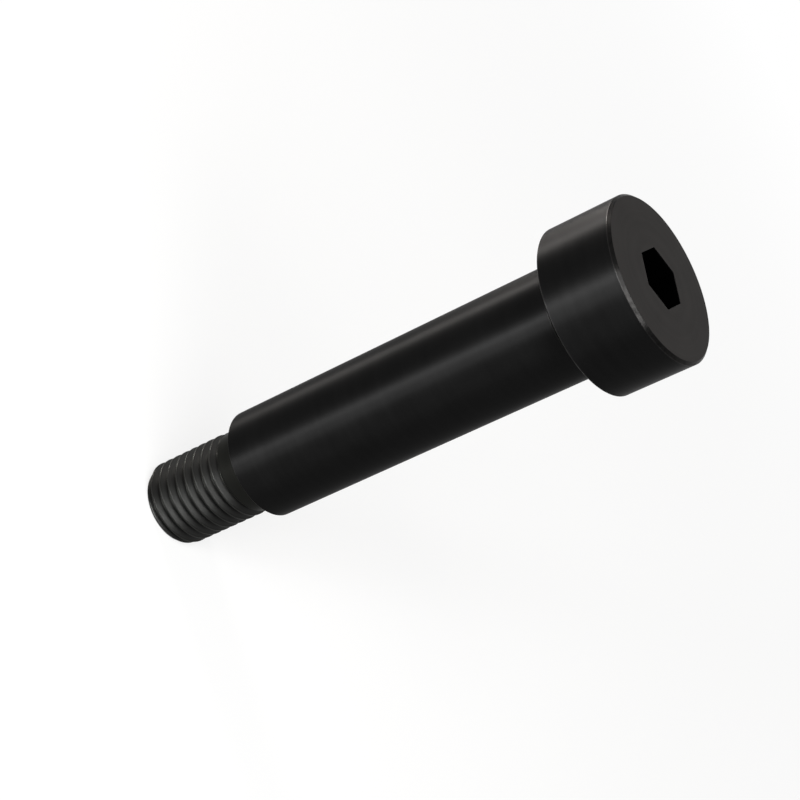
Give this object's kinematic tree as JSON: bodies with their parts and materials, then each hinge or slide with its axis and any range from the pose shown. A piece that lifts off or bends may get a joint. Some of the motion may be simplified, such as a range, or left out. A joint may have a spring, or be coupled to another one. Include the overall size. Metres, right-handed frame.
{
  "type": "shoulder bolt",
  "caption": "Socket head shoulder bolt: cylindrical head with a hexagon socket, long ground shoulder that works as a pivot or guide, short neck and coarse metric thread.",
  "frame": {"origin": "on the bolt's axis, in the plane of the head's bearing face", "axes": "+Z along the axis, from the thread towards the head; +X through a corner of the hexagon socket; +Y completes a right-handed frame"},
  "size_m": [0.03, 0.03, 0.106],
  "materials": {
    "bolt": "black oxide, satin"
  },
  "bodies": {
    "root": {"shoulder_bolt": "bolt"}
  },
  "joints": []
}
